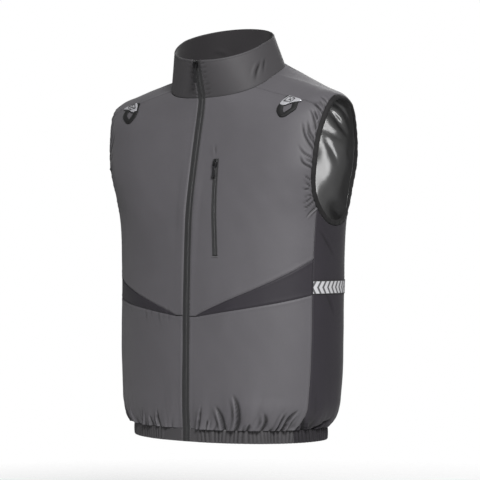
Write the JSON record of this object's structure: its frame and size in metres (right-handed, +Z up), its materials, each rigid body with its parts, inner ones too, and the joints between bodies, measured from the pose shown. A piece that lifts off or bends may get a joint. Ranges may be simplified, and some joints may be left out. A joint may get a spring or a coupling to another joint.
{
  "type": "work vest",
  "caption": "Sleeveless zip-front work vest of thin grey cloth with a stand collar, dark side panels and wedges, a zipped chest pocket, bound armholes and an elastic hem, in its worn form.",
  "frame": {"origin": "midway between the two points where the collar's seam crosses the shoulders", "axes": "+Z up, -Y out of the chest, +X to the wearer's left"},
  "size_m": [0.4776, 0.2711, 0.7368],
  "materials": {
    "shell_cloth": "thin dense plain weave, matt with a faint sheen",
    "dark_cloth": "thin dense plain weave, charcoal, matt",
    "lining": "smooth coated film, glossy black",
    "binding": "folded knitted tape, matt black",
    "reflective": "silver tape with printed grey chevrons",
    "loop_webbing": "narrow webbing, dark grey",
    "silver_tab": "silver coated tape with a stitched box",
    "collar_facing": "soft matt weave, near black",
    "zip_tape": "woven zip tape, dark grey",
    "zip_chain": "coil teeth, black",
    "slider": "black painted die casting",
    "pull": "moulded, black"
  },
  "bodies": {
    "vest": {"armhole_binding_left": "binding", "armhole_binding_right": "binding", "back_panel": "shell_cloth", "collar": "shell_cloth", "collar_facing": "collar_facing", "front_lower_left": "shell_cloth", "front_lower_right": "shell_cloth", "front_upper_left": "shell_cloth", "front_upper_right": "shell_cloth", "front_wedge_left": "dark_cloth", "front_wedge_right": "dark_cloth", "front_zip_chain": "zip_chain", "front_zip_slider": "slider", "front_zip_tape_left": "zip_tape", "front_zip_tape_right": "zip_tape", "hem_back": "shell_cloth", "hem_front_left": "shell_cloth", "hem_front_right": "shell_cloth", "hem_side_left": "dark_cloth", "hem_side_right": "dark_cloth", "lining_back": "lining", "lining_front_left": "lining", "lining_front_right": "lining", "lining_side_left": "lining", "lining_side_right": "lining", "lining_yoke_left": "lining", "lining_yoke_right": "lining", "pocket_bar_tack": "shell_cloth", "pocket_zip_chain": "zip_chain", "pocket_zip_slider": "slider", "pocket_zip_tape": "zip_tape", "reflective_strip_left": "reflective", "reflective_strip_right": "reflective", "shoulder_loop_left": "loop_webbing", "shoulder_loop_right": "loop_webbing", "shoulder_tab_left": "silver_tab", "shoulder_tab_right": "silver_tab", "side_panel_left": "dark_cloth", "side_panel_right": "dark_cloth", "yoke_left": "shell_cloth", "yoke_right": "shell_cloth"},
    "front_pull": {"front_zip_pull": "pull"},
    "pocket_pull": {"pocket_zip_pull": "pull"}
  },
  "joints": [
    {"name": "front_pull_swing", "type": "hinge", "parent": "vest", "child": "front_pull", "pos_m": [0, -0.1137, 0.0134], "axis": [-1, 0, 0], "range_deg": [-10, 150]},
    {"name": "pocket_pull_swing", "type": "hinge", "parent": "vest", "child": "pocket_pull", "pos_m": [0.0486, -0.12308, -0.15919], "axis": [-0.9982, -0.0259, -0.0539], "range_deg": [0, 165]}
  ]
}
